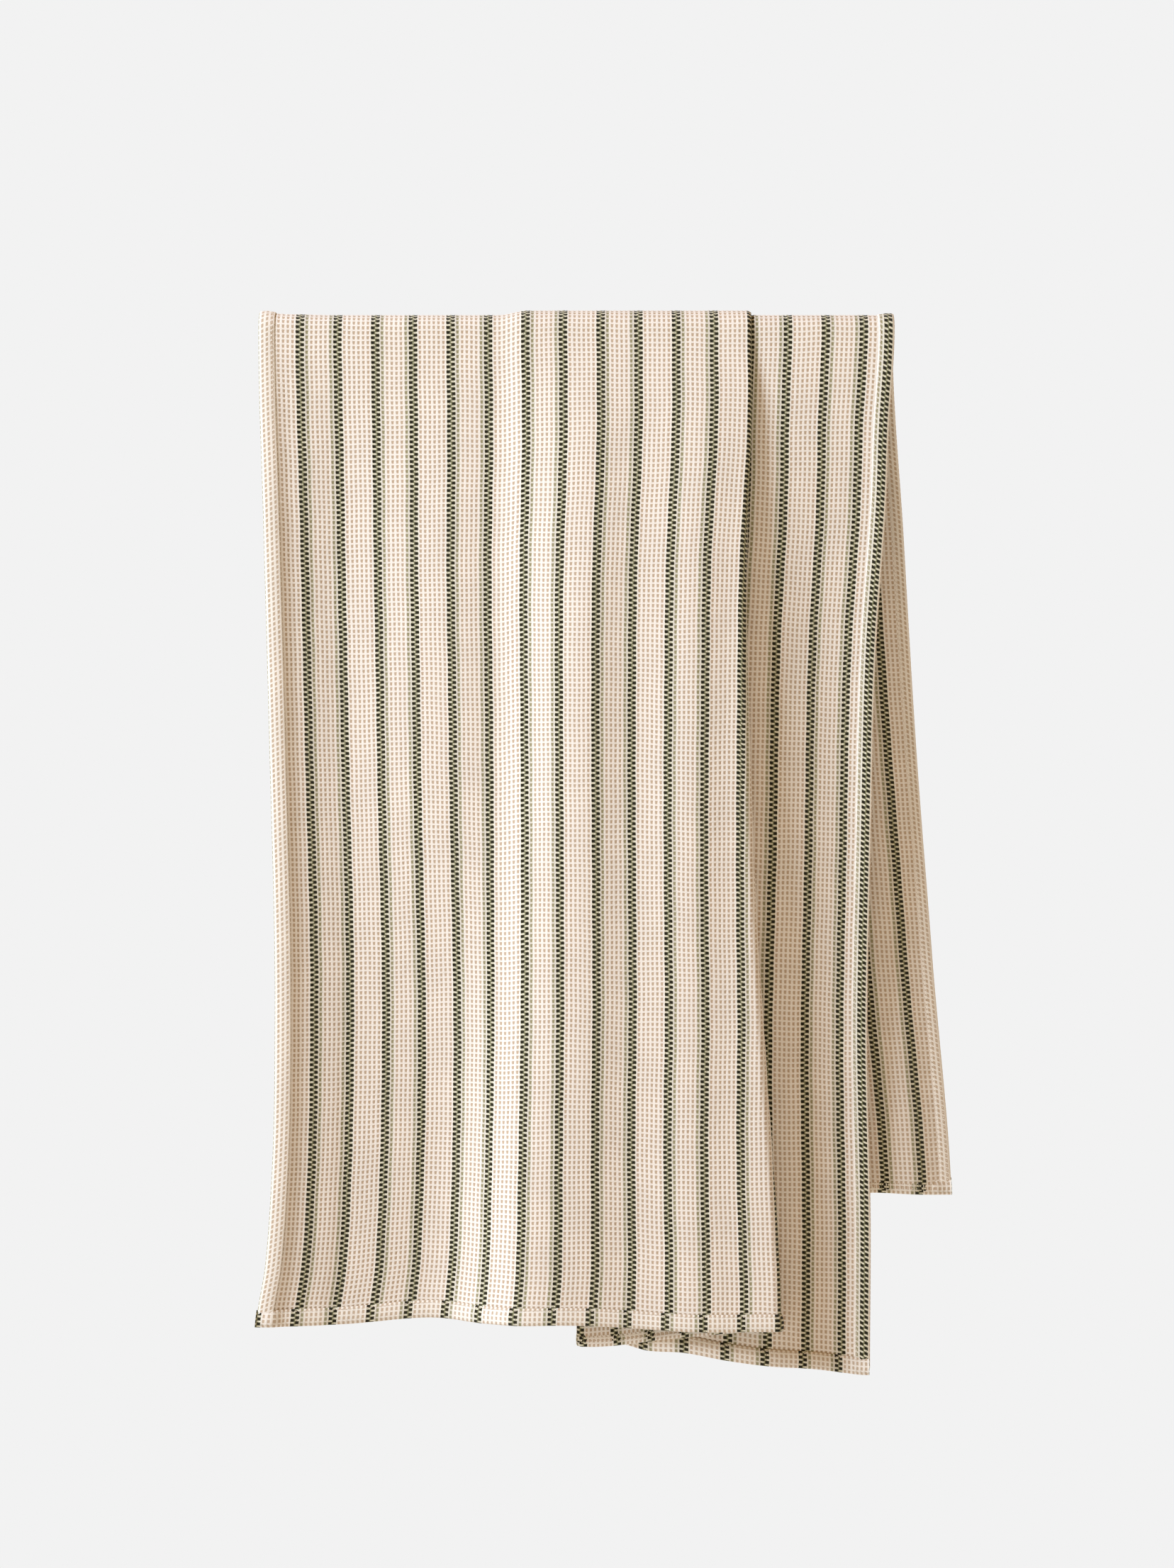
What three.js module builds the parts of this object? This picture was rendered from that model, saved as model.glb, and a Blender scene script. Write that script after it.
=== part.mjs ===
// A striped waffle-weave towel, hemmed on all four sides, folded in three along its length like a
// letter S and hung over a round rail. Millimetres. X runs along the rail, +Z is up, and the front
// drop hangs on the -Y side. The origin is on the rail's axis, at the middle of the towel's width.
//
// The towel is one cloth and its sewing thread. It is built here from the stretches it bends into:
// three layers over the rail, three panels in the front drop and three in the back drop, the two
// lengthwise folds that join them, the turned hems, and the rows of thread that hold the hems.
import * as THREE from "three";

// ---- Driving dimensions ------------------------------------------------------------------------

const RAIL_RADIUS = 9.4; // the rail that holds the towel up; the rail is no part of the towel
const RAIL_CLEARANCE = 0.3;
const CLOTH = 1.1; // thickness of the pressed cloth
const LAYER_GAP = 0.4; // air between two layers of cloth
const PIECE_GAP = 0.3; // between two pieces that meet edge to edge

const TOWEL_LENGTH = 1400; // hem to hem, along the stripes
const OUTER_WIDTH = 352; // left hem to right fold: the layer that shows in front
const MIDDLE_WIDTH = 148; // right fold to left fold: the layer folded back behind it
const INNER_WIDTH = 248; // left fold to right hem: the layer that lies on the rail

const END_HEM_DEPTH = 12.5;
const SIDE_HEM_DEPTH = 10.5;
const FOLD_LEG = 7; // how far a fold piece reaches into each layer that it joins
const THREAD = 0.6; // thickness of a row of sewing thread
const STITCH_INSET = 1.6; // from the hem's inner edge to its row of thread

// How far the front end of the towel hangs below the rail's axis, at each lengthwise edge.
const FRONT_HANG = { leftHem: 711, rightFold: 716, leftFold: 726, rightHem: 746 };

// How far each lengthwise edge strays to the right of its place on the rail, at even steps down.
const FRONT_STRAY = {
  leftHem: [0, 4.1, 8.6, 10.1, -2.5],
  rightFold: [0, -4.6, -2.5, 11.1, 22.3],
  leftFold: [0, 5.6, 11.2, 16.9, 22.5],
  rightHem: [0, -7.1, -14.2, -17.7, -15.7],
};
const BACK_SWAY = [0, 8.9, 18.7, 30.4, 44.6]; // the whole back drop hangs off to the right
const BACK_STRAY = {
  leftHem: BACK_SWAY,
  rightFold: BACK_SWAY,
  leftFold: BACK_SWAY,
  rightHem: BACK_SWAY,
};

const DROP_STEPS = 8; // sections down a drop
const RAIL_STEPS = 12; // sections round the rail
const RAIL_HEM_START = 0.09; // share of the half turn left bare, so that a drop's hem can swing up
const END_STEPS = 3; // sections along an end hem
const EDGE_BEND_STEPS = 4;
const INNER_BEND_STEPS = 3;
const FOLD_BEND_STEPS = 6;
const THREAD_SIDES = 6;

const CREAM = new THREE.MeshStandardMaterial({ color: 0xe9d9c2, roughness: 0.95, metalness: 0 });
const HEM_CREAM = new THREE.MeshStandardMaterial({ color: 0xe2cfb6, roughness: 0.95, metalness: 0 });
const THREAD_CREAM = new THREE.MeshStandardMaterial({ color: 0xf1e6d6, roughness: 0.8, metalness: 0 });

// ---- Sizes worked out from them ----------------------------------------------------------------

const layerPitch = CLOTH + LAYER_GAP;
const hemRise = 2 * layerPitch; // from the cloth's own middle to the middle of the turned band
const hemFace = hemRise + CLOTH / 2;
const threadRise = hemFace + PIECE_GAP + THREAD / 2;
const threadFace = threadRise + THREAD / 2;
const edgeBend = hemRise / 2; // radius of the bend at a hem's outer edge
const edgeReach = edgeBend + CLOTH / 2;

// The middle and inner panels' hems face each other, so the drops fan out to make room for both.
const fan = 2 * threadFace + LAYER_GAP - layerPitch;

const shownWidth = OUTER_WIDTH - MIDDLE_WIDTH + INNER_WIDTH;
const onRail = {
  leftHem: -shownWidth / 2,
  rightFold: -shownWidth / 2 + OUTER_WIDTH,
  leftFold: -shownWidth / 2 + OUTER_WIDTH - MIDDLE_WIDTH,
  rightHem: shownWidth / 2,
};

// Each layer's edges, its place in the stack counted out from the rail, and which way its hem turns.
const LAYERS = {
  inner: { left: "leftFold", right: "rightHem", order: 0, fans: false, hemSide: 1 },
  middle: { left: "leftFold", right: "rightFold", order: 1, fans: true, hemSide: -1 },
  outer: { left: "leftHem", right: "rightFold", order: 2, fans: true, hemSide: 1 },
};

// The middle of a layer's cloth, measured from the rail's axis, where it lies on the rail.
function layerRadius(name) {
  return RAIL_RADIUS + RAIL_CLEARANCE + CLOTH / 2 + LAYERS[name].order * layerPitch;
}

// What the front drop and the half turn over the rail leave of the cloth hangs behind.
const overRail = Math.PI * layerRadius("middle");

const DROPS = {
  front: { facing: -1, stray: FRONT_STRAY, hangAt: (edge) => FRONT_HANG[edge] },
  back: { facing: 1, stray: BACK_STRAY, hangAt: (edge) => TOWEL_LENGTH - overRail - FRONT_HANG[edge] },
};

// ---- Places on the drape -----------------------------------------------------------------------

// The value at a share of the way along evenly spaced values, by a smooth curve through them.
function along(values, share) {
  const curve = new THREE.SplineCurve(values.map((value, i) => new THREE.Vector2(i, value)));
  return curve.getPoint(THREE.MathUtils.clamp(share, 0, 1)).y;
}

function edgeAt(drop, edge, share) {
  return onRail[edge] + along(DROPS[drop].stray[edge], share);
}

// A point of a drop: x across it, a share of the way down its layer, `lower` further down and
// `rise` out from the middle of the layer's cloth, away from the rail.
function dropPoint(drop, name, x, share, rise, lower = 0) {
  const layer = LAYERS[name];
  const left = edgeAt(drop, layer.left, share);
  const right = edgeAt(drop, layer.right, share);
  const { hangAt } = DROPS[drop];
  const hang = THREE.MathUtils.mapLinear(x, left, right, hangAt(layer.left), hangAt(layer.right));
  const panelEnd = hang - edgeReach - FOLD_LEG;
  const down = PIECE_GAP + share * (panelEnd - PIECE_GAP) + lower;
  const out = layerRadius(name) + (layer.fans ? fan * share : 0) + rise;
  return new THREE.Vector3(x, DROPS[drop].facing * out, -down);
}

// A point over the rail: x along it, a share of the half turn from the front side to the back.
function railPoint(name, x, share, rise) {
  const angle = Math.PI * (1 - share);
  const out = layerRadius(name) + rise;
  return new THREE.Vector3(x, out * Math.cos(angle), out * Math.sin(angle));
}

// ---- Solids ------------------------------------------------------------------------------------

// A closed solid through a row of sections, each a ring of points in the same order.
function solidThrough(sections) {
  const ring = sections[0].length;
  const points = sections.flat();
  const faces = [];
  for (let s = 0; s + 1 < sections.length; s += 1) {
    for (let i = 0; i < ring; i += 1) {
      const [a, b] = [s * ring + i, s * ring + ((i + 1) % ring)];
      faces.push([a, b, b + ring], [a, b + ring, a + ring]);
    }
  }
  const last = (sections.length - 1) * ring;
  for (const [a, b, c] of capOf(sections[0])) {
    faces.push([a, c, b]);
  }
  for (const [a, b, c] of capOf(sections.at(-1))) {
    faces.push([last + a, last + b, last + c]);
  }
  const outward = volumeOf(points, faces) > 0 ? faces : faces.map(([a, b, c]) => [a, c, b]);
  const geometry = new THREE.BufferGeometry().setFromPoints(points);
  geometry.setIndex(outward.flat());
  geometry.computeVertexNormals();
  return geometry;
}

// The triangles of a flat ring, found in the ring's own plane and turned the way the ring runs.
function capOf(ring) {
  const normal = new THREE.Vector3();
  ring.forEach((point, i) => {
    normal.add(new THREE.Vector3().crossVectors(point, ring[(i + 1) % ring.length]));
  });
  const turn = new THREE.Quaternion().setFromUnitVectors(normal.normalize(), new THREE.Vector3(0, 0, 1));
  const flat = ring.map((point) => point.clone().applyQuaternion(turn));
  return THREE.ShapeUtils.triangulateShape(flat.map((point) => new THREE.Vector2(point.x, point.y)), []);
}

function volumeOf(points, faces) {
  return faces.reduce((sum, [a, b, c]) => sum + points[a].dot(points[b].clone().cross(points[c])) / 6, 0);
}

// The outline of a ribbon of cloth whose middle follows a line of [reach, rise] points.
function ribbon(line, thickness) {
  const middle = line.map(([reach, rise]) => new THREE.Vector2(reach, rise));
  const sides = middle.map((point, i) => {
    const before = middle[Math.max(i - 1, 0)];
    const after = middle[Math.min(i + 1, middle.length - 1)];
    const side = after.clone().sub(before).normalize().multiplyScalar(thickness / 2);
    return [point, new THREE.Vector2(-side.y, side.x)];
  });
  const one = sides.map(([point, side]) => point.clone().add(side));
  const other = sides.map(([point, side]) => point.clone().sub(side)).reverse();
  return [...one, ...other].map((point) => [point.x, point.y]);
}

// The points of an arc about [reach, rise], from one angle to another in quarter turns.
function arc([reach, rise], radius, fromQuarter, toQuarter, steps) {
  return Array.from({ length: steps + 1 }, (_, i) => {
    const angle = (Math.PI / 2) * THREE.MathUtils.lerp(fromQuarter, toQuarter, i / steps);
    return [reach + radius * Math.cos(angle), rise + radius * Math.sin(angle)];
  });
}

// A hem's section: out to the edge, back over the cloth to the hem's depth, and turned under.
// Reach is measured outwards from the end of the panel.
function hemOutline(depth) {
  const bendAt = FOLD_LEG;
  const innerEdge = bendAt + edgeReach - depth;
  const tuck = layerPitch / 2;
  const line = [
    [PIECE_GAP, 0],
    ...arc([bendAt, edgeBend], edgeBend, -1, 1, EDGE_BEND_STEPS),
    ...arc([innerEdge + tuck + CLOTH / 2, hemRise - tuck], tuck, 1, 3, INNER_BEND_STEPS),
    [bendAt, layerPitch],
  ];
  return ribbon(line, CLOTH);
}

// A fold's section: in the outer of its two layers, round the bend and back in the other.
function foldOutline(spread) {
  const line = [
    [-FOLD_LEG, 0],
    ...arc([-(spread + CLOTH) / 2, -spread / 2], spread / 2, 1, -1, FOLD_BEND_STEPS),
    [-FOLD_LEG, -spread],
  ];
  return ribbon(line, CLOTH);
}

// The centre of a hem's row of thread, as [reach, rise], and the thread's round section there.
function threadOutline(depth) {
  const reach = FOLD_LEG + edgeReach - depth + STITCH_INSET;
  return Array.from({ length: THREAD_SIDES }, (_, i) => {
    const angle = (2 * Math.PI * i) / THREAD_SIDES;
    return [reach + (THREAD / 2) * Math.cos(angle), threadRise + (THREAD / 2) * Math.sin(angle)];
  });
}

function shares(steps) {
  return Array.from({ length: steps + 1 }, (_, i) => i / steps);
}

// ---- Pieces ------------------------------------------------------------------------------------

const towel = new THREE.Group();

function addPiece(name, geometry, material) {
  const mesh = new THREE.Mesh(geometry, material);
  mesh.name = name;
  towel.add(mesh);
}

// How far a panel stops short of one of its edges: at a fold, or at a turned side hem.
function edgeInset(edge) {
  return edge.endsWith("Fold") ? FOLD_LEG + PIECE_GAP : FOLD_LEG + edgeReach;
}

// A flat section across a layer, between its edges, seen by the function that places a point.
function bandSection(leftX, rightX, place) {
  return [
    place(leftX, -CLOTH / 2),
    place(rightX, -CLOTH / 2),
    place(rightX, CLOTH / 2),
    place(leftX, CLOTH / 2),
  ];
}

function addPanel(drop, name) {
  const { left, right } = LAYERS[name];
  const sections = shares(DROP_STEPS).map((share) =>
    bandSection(
      edgeAt(drop, left, share) + edgeInset(left),
      edgeAt(drop, right, share) - edgeInset(right),
      (x, rise) => dropPoint(drop, name, x, share, rise),
    ),
  );
  addPiece(`${drop}_${name}_panel`, solidThrough(sections), CREAM);
}

function addRailLayer(name) {
  const { left, right } = LAYERS[name];
  const sections = shares(RAIL_STEPS).map((share) =>
    bandSection(onRail[left] + edgeInset(left), onRail[right] - edgeInset(right), (x, rise) =>
      railPoint(name, x, share, rise),
    ),
  );
  addPiece(`rail_${name}_layer`, solidThrough(sections), CREAM);
}

// A piece along a lengthwise edge, in one drop or over the rail. `outlineAt` gives its section at a
// share of the way down, with reach running out past the edge and rise away from the rail. In a
// drop the piece runs on past the panel to the very end of the towel.
function addEdgePiece(place, name, edge, nodeName, outlineAt, material) {
  const outwards = edge === LAYERS[name].left ? -1 : 1;
  const base = edge.endsWith("Fold") ? 0 : FOLD_LEG + edgeReach;
  const dropSection = (share, lower) =>
    outlineAt(share).map(([reach, rise]) => {
      const x = edgeAt(place, edge, share) + outwards * (reach - base);
      return dropPoint(place, name, x, share, rise, lower);
    });
  const railSection = (share) =>
    outlineAt(share).map(([reach, rise]) =>
      railPoint(name, onRail[edge] + outwards * (reach - base), share, rise),
    );
  const bare = edge.endsWith("Fold") ? 0 : RAIL_HEM_START;
  const railShares = shares(RAIL_STEPS).map((share) => THREE.MathUtils.lerp(bare, 1 - bare, share));
  const sections =
    place === "rail"
      ? railShares.map(railSection)
      : [...shares(DROP_STEPS).map((share) => dropSection(share, 0)), dropSection(1, FOLD_LEG + edgeReach)];
  addPiece(`${place}_${nodeName}`, solidThrough(sections), material);
}

// A piece along the end of a layer, whose reach runs down past the end of its panel. It fits
// between the pieces along the layer's lengthwise edges.
function addEndPiece(drop, name, nodeName, outline, material) {
  const layer = LAYERS[name];
  const endInset = (edge) => (edge.endsWith("Fold") ? FOLD_LEG : SIDE_HEM_DEPTH) + PIECE_GAP;
  const left = edgeAt(drop, layer.left, 1) + endInset(layer.left);
  const right = edgeAt(drop, layer.right, 1) - endInset(layer.right);
  const sections = shares(END_STEPS).map((share) => {
    const x = THREE.MathUtils.lerp(left, right, share);
    return outline.map(([reach, rise]) => dropPoint(drop, name, x, 1, layer.hemSide * rise, reach));
  });
  addPiece(`${drop}_${nodeName}`, solidThrough(sections), material);
}

// The right fold joins the outer and middle layers, which keep their distance all the way down.
function rightFoldOutline() {
  return foldOutline(layerPitch);
}

// The left fold joins the middle and inner layers, which the fan draws apart in a drop.
function leftFoldOutline(place, share) {
  return foldOutline(layerPitch + (place === "rail" ? 0 : fan * share));
}

for (const name of Object.keys(LAYERS)) {
  addRailLayer(name);
  for (const drop of Object.keys(DROPS)) {
    addPanel(drop, name);
    addEndPiece(drop, name, `${name}_end_hem`, hemOutline(END_HEM_DEPTH), HEM_CREAM);
    addEndPiece(drop, name, `${name}_end_thread`, threadOutline(END_HEM_DEPTH), THREAD_CREAM);
  }
}

for (const place of ["rail", ...Object.keys(DROPS)]) {
  const sideHem = () => hemOutline(SIDE_HEM_DEPTH);
  const sideThread = () => threadOutline(SIDE_HEM_DEPTH);
  addEdgePiece(place, "outer", "rightFold", "right_fold", rightFoldOutline, CREAM);
  addEdgePiece(place, "middle", "leftFold", "left_fold", (share) => leftFoldOutline(place, share), CREAM);
  addEdgePiece(place, "outer", "leftHem", "left_hem", sideHem, HEM_CREAM);
  addEdgePiece(place, "inner", "rightHem", "right_hem", sideHem, HEM_CREAM);
  addEdgePiece(place, "outer", "leftHem", "left_hem_thread", sideThread, THREAD_CREAM);
  addEdgePiece(place, "inner", "rightHem", "right_hem_thread", sideThread, THREAD_CREAM);
}

export default towel;
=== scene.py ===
"""A striped waffle towel, folded in three lengthwise and hung over a round rail.

The cloth is one sheet. u runs across it from the left finished edge to the right one, and v runs up it
from an end, both in millimetres on the flat cloth. Every piece is worked out in millimetres and made in
metres.
"""
import math

import bpy
import numpy as np
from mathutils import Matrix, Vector


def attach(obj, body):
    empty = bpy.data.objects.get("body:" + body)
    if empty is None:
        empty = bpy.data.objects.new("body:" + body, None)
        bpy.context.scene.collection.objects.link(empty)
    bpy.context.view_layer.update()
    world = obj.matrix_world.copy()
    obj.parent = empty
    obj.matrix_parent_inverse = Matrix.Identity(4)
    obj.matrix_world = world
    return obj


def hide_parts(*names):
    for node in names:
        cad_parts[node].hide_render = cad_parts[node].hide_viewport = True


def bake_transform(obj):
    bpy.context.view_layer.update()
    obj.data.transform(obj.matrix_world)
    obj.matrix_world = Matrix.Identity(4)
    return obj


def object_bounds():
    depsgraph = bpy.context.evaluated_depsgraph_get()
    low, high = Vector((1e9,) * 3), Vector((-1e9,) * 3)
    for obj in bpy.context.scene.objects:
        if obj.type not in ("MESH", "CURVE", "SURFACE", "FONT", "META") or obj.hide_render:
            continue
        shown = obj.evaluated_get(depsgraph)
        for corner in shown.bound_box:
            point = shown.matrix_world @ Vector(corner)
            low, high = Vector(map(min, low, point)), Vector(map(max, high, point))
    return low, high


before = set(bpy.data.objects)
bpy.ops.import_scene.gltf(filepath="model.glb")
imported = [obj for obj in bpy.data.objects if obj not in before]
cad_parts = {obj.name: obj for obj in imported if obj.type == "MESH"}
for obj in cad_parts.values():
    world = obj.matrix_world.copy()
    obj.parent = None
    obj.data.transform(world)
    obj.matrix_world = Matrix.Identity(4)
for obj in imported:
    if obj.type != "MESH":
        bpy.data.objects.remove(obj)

cad_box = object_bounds()
MM = 0.001

# ---- the cloth as it was woven and sewn ------------------------------------------------------------------
TOWEL_LONG = 1400.0
TOWEL_WIDE = 748.0
CELL_WIDE = 3.35                       # one waffle cell
CELL_TALL = 3.55
CELLS_PER_STRIPE = 8
FIRST_STRIPE = 29.4                    # centre of the first whole stripe, from the left finished edge
STRIPE_PITCH = CELLS_PER_STRIPE * CELL_WIDE
MIDDLE_STRIPE = 13                     # the pattern is mirrored about it
FIRST_RIB = FIRST_STRIPE % CELL_WIDE   # the first rib inside the left hem
CLOTH_THICK = 0.86
RELIEF = 0.36                          # how far ribs stand out and pits sink in
RIB_UP, RIB_ACROSS = 0.85, 0.25        # height of the ribs between crossings, as a share of RELIEF
RIB_SNAKE = 0.2                        # the ribs snake sideways by this much
UNEVEN = 0.16                          # spread of the weave's height from point to point, as a share of it

SIDE_HEM, END_HEM = 11.5, 12.5
HEM_HALF_THICK = 1.45
HEM_POINTS = 16                        # points round a hem
HEM_THIN, HEM_THIN_WIDE = 0.5, 3       # a hem is this share thinner at its inner border, over this width
END_OUT, LEFT_OUT, RIGHT_OUT = 0.95, 0.95, 0.4   # the flap is on face A, so a hem lies out of the cloth
LEFT_TURN = -2.2                       # the left edge is turned this far from the pattern's zero
END_SHIFT = 2.3                        # an end hem's pattern lies this far across from the cloth's
END_PAST = 0.8                         # an end hem reaches this far past the cloth's sides
HEM_SLANT = 0.4                        # a side hem is twisted a little as it is turned, so its rows slant
SIDE_SWELL, END_SWELL = 0.16, 0.28     # how much the weave swells a hem, as a share of its thickness
SIDE_LEVEL, END_LEVEL = 0.2, 0.1       # height of the weave where a hem has its plain thickness
OVER_SIDE_BULK, OVER_SIDE_EASE = 0.75, 3   # an end hem is this share thicker over a side hem, eased over this

STITCH_LONG, STITCH_PITCH, STITCH_THICK = 2.1, 3.0, 0.5
STITCH_INSET = 1.7                     # from a hem's inner border
STITCH_SIDES = 6
ROW_GAPS = (2, 1)                      # a side row starts this far above the end hem, and stops below the crest
END_ROW_GAPS = (3.0, 2)                # an end row starts and stops this far inside the cloth's sides
STITCH_PINCH, STITCH_PINCH_WIDE = 0.25, 1.2    # the thread pulls a hem this share thinner, over this width
STITCH_SUNK = HEM_HALF_THICK * 0.45 + 0.07     # height of the stitches over a hem's middle

# ---- how it lies over the rail ---------------------------------------------------------------------------
INNER_R, MIDDLE_R, OUTER_R = 10.5, 12.1, 13.7   # middle of each layer, from the rail's axis
OVER_FOLD = (170.0, 192.0)             # where the outer layer climbs over the two others, across it
SWAY = ((0, 150, 300, 450, 650), (0, 8.9, 18.7, 30.4, 44.6))

# Hang of each lengthwise line below the rail's axis, in front.
FRONT_HANG = (
    (0, 60, 130, 160, 190, 220, 320, 379, 460,
     543, 560, 578, 590, 617, 644, 673, 702, 748),
    (709.5, 709, 705, 707, 707, 706.5, 711.5, 711.5, 717,
     723, 721, 722.5, 726, 728, 733.5, 738.5, 741.5, 746.5),
)
BACK_CROOKED = ((600, 690, 748), (0, -4, 5))    # the back end isn't square to the sides


def through(x, at, value):
    """Smooth curve through the points (at, value): a cubic between neighbours, its slope at each point the
    mean of the slopes on both sides, level at the two ends and beyond."""
    at, value = np.asarray(at, float), np.asarray(value, float)
    slope = np.gradient(value, at)
    slope[[0, -1]] = 0
    x = np.clip(x, at[0], at[-1])
    i = np.clip(np.searchsorted(at, x, side="right") - 1, 0, len(at) - 2)
    width = at[i + 1] - at[i]
    t = (x - at[i]) / width
    return ((1 + 2 * t) * (1 - t) ** 2 * value[i] + t * (1 - t) ** 2 * width * slope[i]
            + t * t * (3 - 2 * t) * value[i + 1] - t * t * (1 - t) * width * slope[i + 1])


def ease(x, low, high):
    """0 below low, 1 above high, and 3t^2 - 2t^3 between."""
    t = np.clip((x - low) / (high - low), 0, 1)
    return t * t * (3 - 2 * t)


def swayed(x):
    """An edge of the back drop: x at the rail, carried right as it hangs."""
    return (SWAY[0], tuple(x + s for s in SWAY[1]))


# Each drop: its edges and folds (depths below the rail's axis, x at each), the cloth's own u at the two
# folds, how much of the puff each depth has, and how far each layer then stands out across its width.
FRONT = dict(
    side=-1,
    left=((0, 140, 300, 480, 600, 665, 712), (-226, -222, -217.4, -213.5, -215.6, -220.4, -227)),
    fold_1=((0, 70, 170, 270, 420, 525, 716), (124, 123.6, 120.2, 121.8, 127.3, 134.0, 144.6)),
    fold_2=((0, 726), (-22.8, 0.5)),
    right=((0, 70, 120, 220, 370, 500, 640, 746), (226.5, 222.6, 220.8, 213.8, 209.8, 207.4, 209.8, 209.3)),
    u_fold_1=((0, 270, 470, 620, 716), (351, 359, 368, 378, 379)),
    u_fold_2=((0, 726), (499.5, 543)),
    puff=((0, 60, 140, 220, 320, 450, 600, 720), (0, 0.4, 0.7, 0.9, 1, 1, 0.95, 0.85)),
    lower=((0, 320, 480, 640, 716), (0, 0, 0.45, 0.9, 1)),
    outer=((56, 145, 165, 187, 217, 238, 268, 320, 346), (-3, 2.8, 3.2, 6.8, 15.4, 17.8, 15, 18, 15.5)),
    outer_low=((44, 58, 84, 134, 188, 235, 268, 320, 346), (-1.5, -3.2, -6.2, -8.0, 16, 17, 14, 16.5, 15.5)),
    edge_roll=((0, 60, 140, 220, 320, 470, 620, 716), (0.12, 0.5, 0.8, 0.9, 1, 1.06, 1.06, 0.95)),
    middle=(8, 8),
    inner=((543, 645, 736, 748), (1.5, 4.5, -11.5, -10.5)),
    bunched=4.2,                       # how far it is pushed together towards the free edge
    inner_turn=((0, 100, 220, 350, 450, 746), (0, 0.3, 0.6, 0.9, 1, 1)),
)
BACK = dict(
    side=1,
    left=swayed(-226),
    fold_1=swayed(124.1),
    fold_2=swayed(-22.8),
    right=swayed(227),
    u_fold_1=((0, 650), (351, 352)),
    u_fold_2=((0, 650), (499.5, 500)),
    puff=((0, 60, 200, 350, 500, 660), (0, 0.25, 0.7, 1, 1, 0.8)),
    lower=((0, 300, 650), (0, 0, 1)),
    outer=((56, 120, 190, 228, 270, 300, 330, 346), (-1, 3.5, 3, 10.5, 7.5, 8.5, 11, 9)),
    outer_low=((56, 150, 250, 346), (-1, 6, 5, 9)),
    edge_roll=((0, 200, 650), (0.12, 0.5, 0.8)),
    middle=(3.5, 4.2),
    inner=((500, 620, 690, 718, 748), (0, 0.8, -0.6, 3, 12)),
    bunched=0.0,
    inner_turn=((0, 100, 300, 650), (0, 0.3, 1, 1)),
)
# The left hem stands out, and the cloth beside it falls back.
EDGE_ROLL = ((0, 12, 19, 28, 40, 56), (9.4, 9.4, 6.4, 4.6, 2.2, 0))
OUTER_SPAN = np.arange(-40.0, 441.0)   # every millimetre of the outer layer, and some past both its ends
BUNCH_SCALE = 6.75                     # t * t * (1 - t) is 1 / 6.75 at its highest


def width_used(profile):
    """How much of the cloth's width a profile's waves use up to each u: half the running sum of its slope
    squared."""
    climb = np.gradient(through(OUTER_SPAN, *profile), OUTER_SPAN)
    return OUTER_SPAN, np.cumsum(climb * climb) / 2


for drop in (FRONT, BACK):
    for profile in ("outer", "outer_low"):
        drop[f"{profile}_used"] = width_used(drop[profile])
EDGE_ROLL_USED = width_used(EDGE_ROLL)


def hang_of(drop, u):
    """How far the lengthwise line u hangs below the rail's axis. The back has what is left of the towel's
    length after the front's hang and a half turn of the mean radius, give or take its crooked end."""
    front = through(u, *FRONT_HANG)
    if drop is FRONT:
        return front
    half_turn = math.pi * (INNER_R + OUTER_R) / 2
    return TOWEL_LONG + through(u, *BACK_CROOKED) - half_turn - front


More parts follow.
